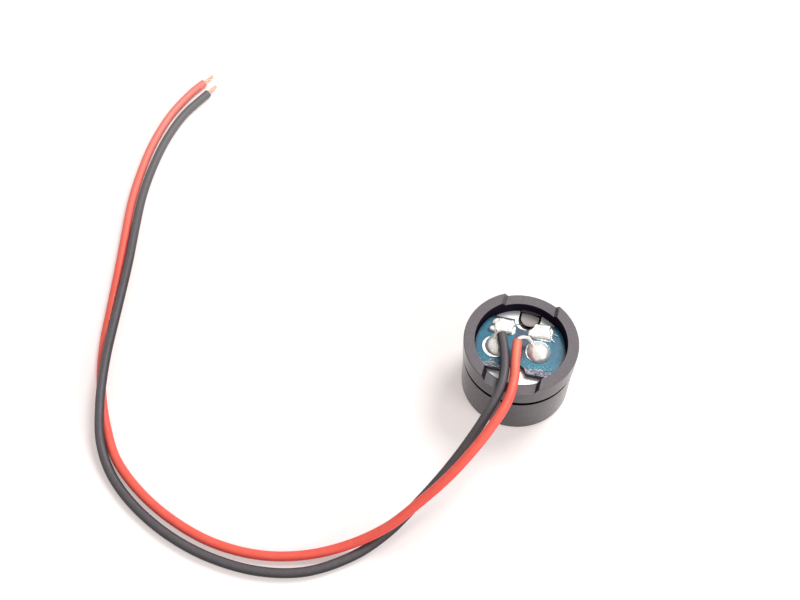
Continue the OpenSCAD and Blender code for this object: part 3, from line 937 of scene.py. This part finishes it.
def add_joints():
    """Solder: a cap on each lead, a lump on each coil pad, and the coil wire
    ends that stand out of the lumps."""
    solder = MATERIALS["solder"]
    for side, centre, radius, height, (turn, width, reach) in (
        ("black", (-2.42, -0.44), 1.24, 0.66, (112, 0.3, 0.24)),
        ("red", (1.98, -0.27), 1.26, 0.8, (140, 0.4, 0.15)),
    ):
        neck = (math.radians(turn), width, reach)
        cap = dome(f"{side}_lead_solder", centre, radius, height, neck, solder)
        keep(cap, "solder", f"{side}_lead_joint")
    for side, outline, height in (
        ("left", LEFT_LUMP, left_height),
        ("right", RIGHT_LUMP, right_height),
    ):
        lump = relief(f"{side}_coil_solder", outline, JOINT_Z, height, solder)
        keep(lump, "solder", f"{side}_coil_joint")
    verts, faces = [], []
    for wire in COIL_WIRES:
        line = smooth_line(wire, 0.05)
        tube_parts(line, 0.045, 10, verts, faces, profile=[(0.02, 0.035), (0, 0.02)])
    keep(make_mesh("coil_wire_ends", verts, faces, MATERIALS["tinned_wire"]), "tinned_wire")


# ---- Sawn edge ----


# Half width of each row of splinters and its points, on the board's surface
BURRS = (
    (0.05, [(-3.5, -2.45), (-3.3, -2.62), (-3.02, -2.4), (-2.8, -2.2), (-2.55, -2.0), (-2.2, -2.08)]),
    (0.10, [(-3.05, -2.66), (-2.76, -2.56), (-2.52, -2.44), (-2.2, -2.5), (-1.96, -2.56)]),
    (0.06, [(-3.2, -2.97), (-2.89, -2.9), (-2.49, -2.88), (-2.1, -2.92), (-1.7, -2.9)]),
    (
        0.05,
        [
            (1.02, -2.9), (1.3, -2.9), (1.5, -2.86), (1.81, -2.78),
            (2.26, -2.78), (2.56, -2.88), (2.98, -2.78),
        ],
    ),
    (0.10, [(2.21, -2.6), (2.34, -2.42), (2.54, -2.32), (2.78, -2.45), (2.93, -2.62)]),
    (0.05, [(1.05, -2.45), (1.4, -2.5), (1.7, -2.4), (2.0, -2.3)]),
    (0.04, [(3.12, -2.3), (3.3, -2.2), (3.58, -2.14)]),
)


def add_burrs():
    """Broken laminate that stands along the board's two near flats."""
    rnd = random.Random(4)
    verts, faces = [], []
    for width, row in BURRS:
        line = smooth_line([(x, y, BOARD_TOP + rnd.uniform(0.0, 0.03)) for x, y in row], 0.04)
        seed = rnd.uniform(0, 50)

        def torn(t):
            swell = math.sin(math.pi * min(0.96, max(0.04, t))) ** 0.5
            jagged = 0.75 + 0.9 * noise.noise(Vector((t * 9, seed, 0)))
            return width * (0.25 + 0.9 * swell * jagged)

        tube_parts(line, torn, 7, verts, faces)
    keep(make_mesh("board_edge_burrs", verts, faces, FIBRE, smooth=False), "solder_mask")


# ---- Stage ----


def seen_directly(tree):
    """1 for what the camera or a reflection sees, 0 for light on the part."""
    path = tree.nodes.new("ShaderNodeLightPath")
    seen = tree.nodes.new("ShaderNodeMath")
    seen.operation = "MAXIMUM"
    tree.links.new(path.outputs["Is Camera Ray"], seen.inputs[0])
    tree.links.new(path.outputs["Is Glossy Ray"], seen.inputs[1])
    return seen.outputs[0]


def add_floor(half=1500, glow_level=0.38):
    """Pale floor: white to the camera and in reflections where it is lit,
    warmer in the shadow that it keeps."""
    corners = ((-half, -half), (half, -half), (half, half), (-half, half))
    mat = bpy.data.materials.new("pale_floor")
    mat.use_nodes = True
    tree = mat.node_tree
    shader = tree.nodes["Principled BSDF"]
    shader.inputs["Base Color"].default_value = (0.80, 0.765, 0.755, 1)
    shader.inputs["Roughness"].default_value = 0.9
    shader.inputs["Specular IOR Level"].default_value = 0.0
    glow = tree.nodes.new("ShaderNodeEmission")
    glow.inputs["Color"].default_value = (1.0, 0.88, 0.85, 1)
    level = tree.nodes.new("ShaderNodeMath")
    level.operation = "MULTIPLY"
    level.inputs[1].default_value = glow_level
    tree.links.new(seen_directly(tree), level.inputs[0])
    tree.links.new(level.outputs[0], glow.inputs["Strength"])
    add = tree.nodes.new("ShaderNodeAddShader")
    tree.links.new(shader.outputs[0], add.inputs[0])
    tree.links.new(glow.outputs[0], add.inputs[1])
    tree.links.new(add.outputs[0], tree.nodes["Material Output"].inputs["Surface"])
    verts = [(x, y, FLOOR_Z) for x, y in corners]
    make_mesh("floor", verts, [(0, 1, 2, 3)], mat, False)


def add_world(light_level=0.45, seen_level=1.0):
    """White surroundings: soft light on the part, white where they are seen."""
    world = bpy.data.worlds.new("studio")
    bpy.context.scene.world = world
    world.use_nodes = True
    tree = world.node_tree
    back = tree.nodes["Background"]
    back.inputs["Color"].default_value = (1, 1, 1, 1)
    level = tree.nodes.new("ShaderNodeMapRange")
    level.inputs["To Min"].default_value = light_level
    level.inputs["To Max"].default_value = seen_level
    tree.links.new(seen_directly(tree), level.inputs["Value"])
    tree.links.new(level.outputs[0], back.inputs["Strength"])


def add_lamp(name, place, size, power):
    """A round lamp that points at the part; size in metres, power in watts."""
    data = bpy.data.lights.new(name, "AREA")
    data.shape = "DISK"
    data.size = size
    data.energy = power
    lamp = bpy.data.objects.new(name, data)
    bpy.context.collection.objects.link(lamp)
    lamp.location = Vector(place) * MM
    lamp.rotation_mode = "QUATERNION"
    lamp.rotation_quaternion = lamp.location.to_track_quat("Z", "Y")


# ---- Assembly ----

bpy.context.scene.view_settings.view_transform = "Standard"
add_camera()
add_lead("black", BLACK_ROUTE, BLACK_STRIP)
add_lead("red", RED_ROUTE, RED_STRIP)
for part in frame["record"]["subparts"]:
    node = NODES[part["node"]]
    node.data.materials.clear()
    node.data.materials.append(MATERIALS[part["material_slot"]])
add_joints()
add_burrs()
add_floor()
add_world()
add_lamp("key", (160, 240, 420), size=0.22, power=1.55)
add_lamp("fill", (330, -150, 170), size=0.24, power=0.65)
